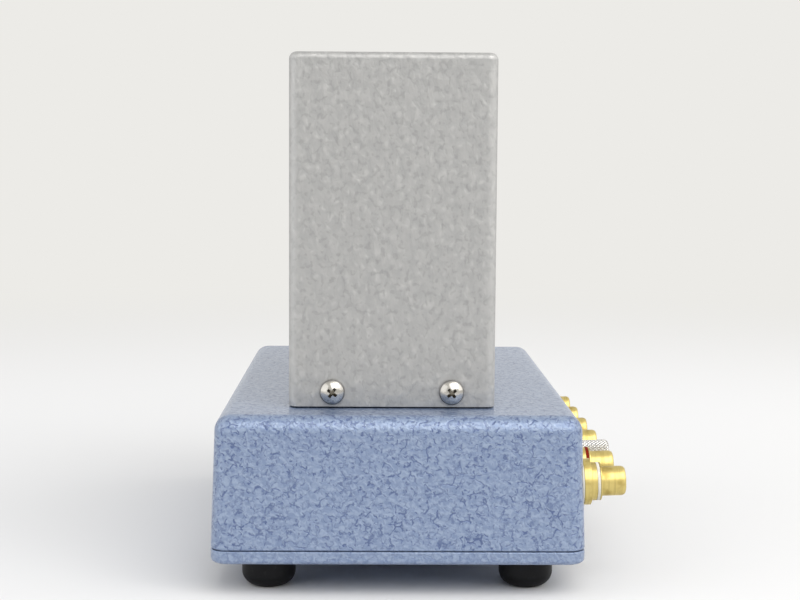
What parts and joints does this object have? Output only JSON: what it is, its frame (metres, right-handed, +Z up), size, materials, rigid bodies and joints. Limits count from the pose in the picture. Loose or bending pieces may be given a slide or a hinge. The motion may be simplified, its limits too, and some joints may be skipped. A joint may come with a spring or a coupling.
{
  "type": "moving coil step-up transformer",
  "caption": "Painted metal box on rubber feet with a tall transformer cover, a row of phono sockets and a ground post, raising a moving coil cartridge's signal.",
  "frame": {"origin": "centre of the whole outline on the floor, under the feet", "axes": "+X points at the wall with the sockets, +Y along the box, +Z up"},
  "size_m": [0.1164, 0.161, 0.1479],
  "materials": {
    "blue_hammertone": "gloss",
    "silver_hammertone": "satin",
    "black_rubber": "matte",
    "nickel": "polished",
    "zinc_steel": "satin",
    "shield_metal": "satin",
    "core_steel": "matte",
    "winding_copper": "satin",
    "gold_plate": "polished",
    "white_plastic": "satin",
    "red_plastic": "satin",
    "bobbin_plastic": "matte",
    "felt": "matte",
    "black_insulation": "satin"
  },
  "bodies": {
    "chassis": {"chassis_box": "blue_hammertone", "base_plate": "blue_hammertone", "transformer_cover": "silver_hammertone", "near_front_foot": "black_rubber", "near_rear_foot": "black_rubber", "far_front_foot": "black_rubber", "far_rear_foot": "black_rubber", "cover_screws": "nickel", "ground_stud": "nickel", "base_plate_screws": "zinc_steel", "foot_screws": "zinc_steel", "foot_washers": "zinc_steel", "foot_nuts": "zinc_steel", "near_cover_bracket": "zinc_steel", "far_cover_bracket": "zinc_steel", "bracket_screws": "zinc_steel", "bracket_nuts": "zinc_steel", "transformer_screws": "zinc_steel", "transformer_nuts": "zinc_steel", "ground_bus_wire": "zinc_steel", "solder_tags": "zinc_steel", "ground_lock_washer": "zinc_steel", "ground_stud_nut": "zinc_steel", "left_shield_base": "shield_metal", "right_shield_base": "shield_metal", "left_shield_can": "shield_metal", "right_shield_can": "shield_metal", "left_core": "core_steel", "right_core": "core_steel", "left_primary_winding": "winding_copper", "right_primary_winding": "winding_copper", "left_secondary_winding": "winding_copper", "right_secondary_winding": "winding_copper", "socket_shell_1": "gold_plate", "socket_shell_2": "gold_plate", "socket_shell_3": "gold_plate", "socket_shell_4": "gold_plate", "socket_shell_5": "gold_plate", "socket_shell_6": "gold_plate", "socket_contacts": "gold_plate", "socket_nuts": "gold_plate", "white_rings": "white_plastic", "socket_insulators": "white_plastic", "socket_outer_washers": "white_plastic", "socket_inner_washers": "white_plastic", "lead_bushings": "white_plastic", "left_signal_leads": "white_plastic", "red_rings": "red_plastic", "right_signal_leads": "red_plastic", "left_bobbin": "bobbin_plastic", "right_bobbin": "bobbin_plastic", "left_felt_pad": "felt", "right_felt_pad": "felt", "common_leads": "black_insulation"},
    "clamp_washer": {"ground_clamp_washer": "nickel"},
    "thumb_nut": {"ground_thumb_nut": "nickel"}
  },
  "joints": [
    {"name": "clamp_washer_travel", "type": "slide", "parent": "chassis", "child": "clamp_washer", "axis": [0.9995, 0, 0.0326], "range_m": [0, 0.0084]},
    {"name": "thumb_nut_turn", "type": "hinge", "parent": "clamp_washer", "child": "thumb_nut", "pos_m": [0.04669, -0.02274, 0.02865], "axis": [0.9995, 0, 0.0326], "range_deg": [0, 4320]}
  ],
  "couplings": [
    {"joint": "thumb_nut_turn", "follows": "clamp_washer_travel", "rad_per_m": 8976}
  ]
}
